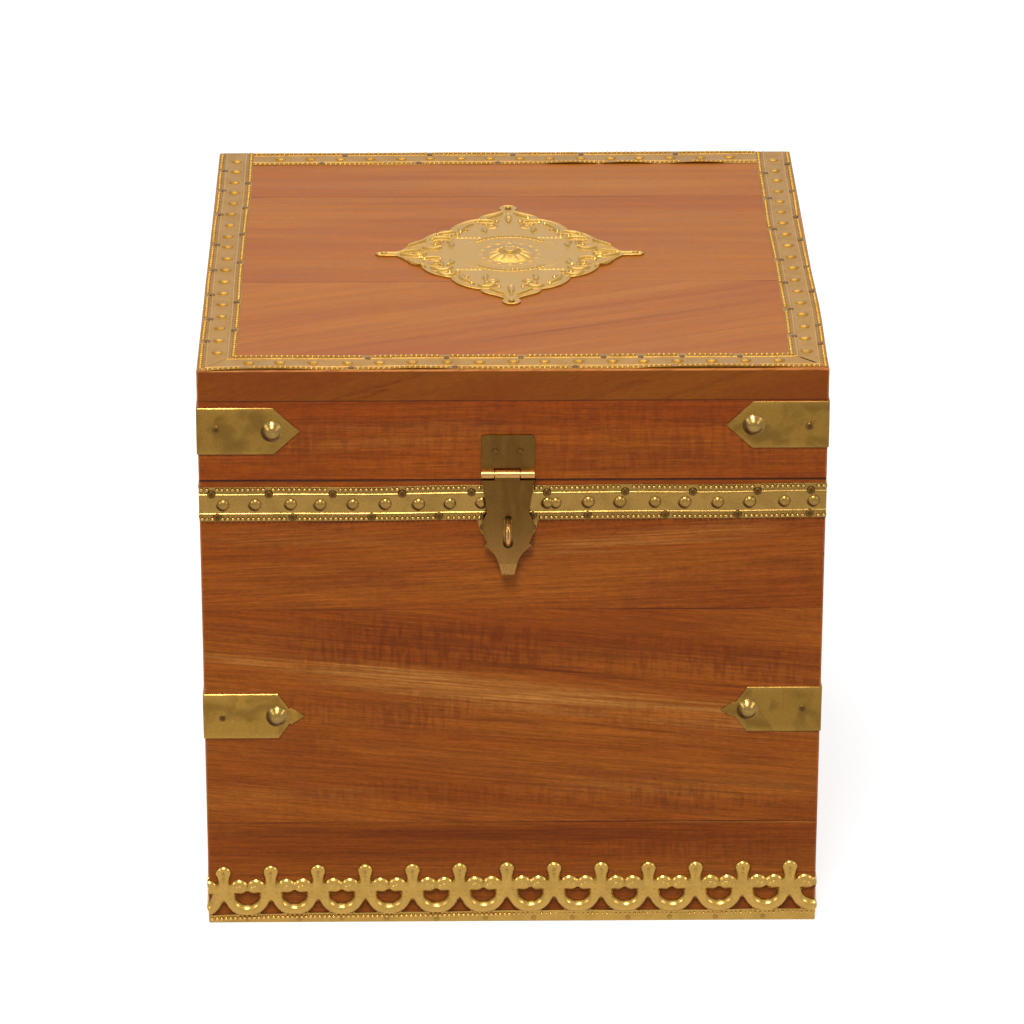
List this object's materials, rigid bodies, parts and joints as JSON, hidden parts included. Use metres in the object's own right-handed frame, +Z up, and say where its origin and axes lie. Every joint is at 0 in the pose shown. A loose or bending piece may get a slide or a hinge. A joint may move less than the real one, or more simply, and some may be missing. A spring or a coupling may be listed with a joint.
{
  "type": "wooden chest",
  "caption": "Small cubic wooden chest with a hinged lid, embossed brass ribbons, pierced border, corner straps, lid medallion and a swinging hasp over a staple.",
  "frame": {"origin": "middle of the underside of the wooden box", "axes": "+Z up, +X to the right of someone facing the hasp, -Y out of the front"},
  "size_m": [0.3134, 0.3257, 0.3033],
  "materials": {
    "body_wood": "lacquered reddish hardwood, horizontal grain",
    "lid_wood": "lacquered orange-brown hardwood",
    "ribbon_brass": "embossed thin sheet, rubbed high spots",
    "border_brass": "embossed and pierced thin sheet",
    "strap_brass": "aged plain sheet, darker patches",
    "nail_brass": "domed nail heads, dull polish",
    "hasp_brass": "aged sheet, polished barrel",
    "hinge_brass": "dull cast butt hinges",
    "medallion_brass": "embossed sheet, dark in the hollows"
  },
  "bodies": {
    "chest": {"back_board_lower": "body_wood", "back_board_middle": "body_wood", "back_board_upper": "body_wood", "body_ribbon_front": "ribbon_brass", "body_ribbon_left": "ribbon_brass", "body_ribbon_right": "ribbon_brass", "body_strap_back_left": "strap_brass", "body_strap_back_right": "strap_brass", "body_strap_dome_nails": "nail_brass", "body_strap_front_left": "strap_brass", "body_strap_front_right": "strap_brass", "border_front": "border_brass", "border_left": "border_brass", "border_right": "border_brass", "bottom_panel": "body_wood", "front_board_lower": "body_wood", "front_board_middle": "body_wood", "front_board_upper": "body_wood", "hinge_body_screws": "hinge_brass", "hinge_left_body_leaf": "hinge_brass", "hinge_left_pin": "hinge_brass", "hinge_right_body_leaf": "hinge_brass", "hinge_right_pin": "hinge_brass", "left_board_lower": "body_wood", "left_board_middle": "body_wood", "left_board_upper": "body_wood", "right_board_lower": "body_wood", "right_board_middle": "body_wood", "right_board_upper": "body_wood", "staple": "hasp_brass", "staple_plate": "hasp_brass", "staple_plate_nails": "nail_brass"},
    "lid": {"hasp_pin": "hasp_brass", "hasp_plate": "hasp_brass", "hasp_plate_nails": "nail_brass", "hinge_left_lid_leaf": "hinge_brass", "hinge_right_lid_leaf": "hinge_brass", "lid_back_rail": "lid_wood", "lid_board_back": "lid_wood", "lid_board_front": "lid_wood", "lid_board_middle": "lid_wood", "lid_front_rail": "lid_wood", "lid_left_rail": "lid_wood", "lid_ribbon_back": "ribbon_brass", "lid_ribbon_front": "ribbon_brass", "lid_ribbon_left": "ribbon_brass", "lid_ribbon_right": "ribbon_brass", "lid_right_rail": "lid_wood", "lid_strap_back_left": "strap_brass", "lid_strap_back_right": "strap_brass", "lid_strap_dome_nails": "nail_brass", "lid_strap_front_left": "strap_brass", "lid_strap_front_right": "strap_brass", "medallion": "medallion_brass", "medallion_pins": "nail_brass", "hinge_lid_screws": "hinge_brass"},
    "hasp": {"hasp_leaf": "hasp_brass"}
  },
  "joints": [
    {"name": "lid_hinge", "type": "hinge", "parent": "chest", "child": "lid", "pos_m": [0, 0.151, 0.2424], "axis": [-1, 0, 0], "range_deg": [0, 105]},
    {"name": "hasp_hinge", "type": "hinge", "parent": "lid", "child": "hasp", "pos_m": [-0.0024, -0.1562, 0.2462], "axis": [-1, 0, 0], "range_deg": [0, 150]}
  ]
}
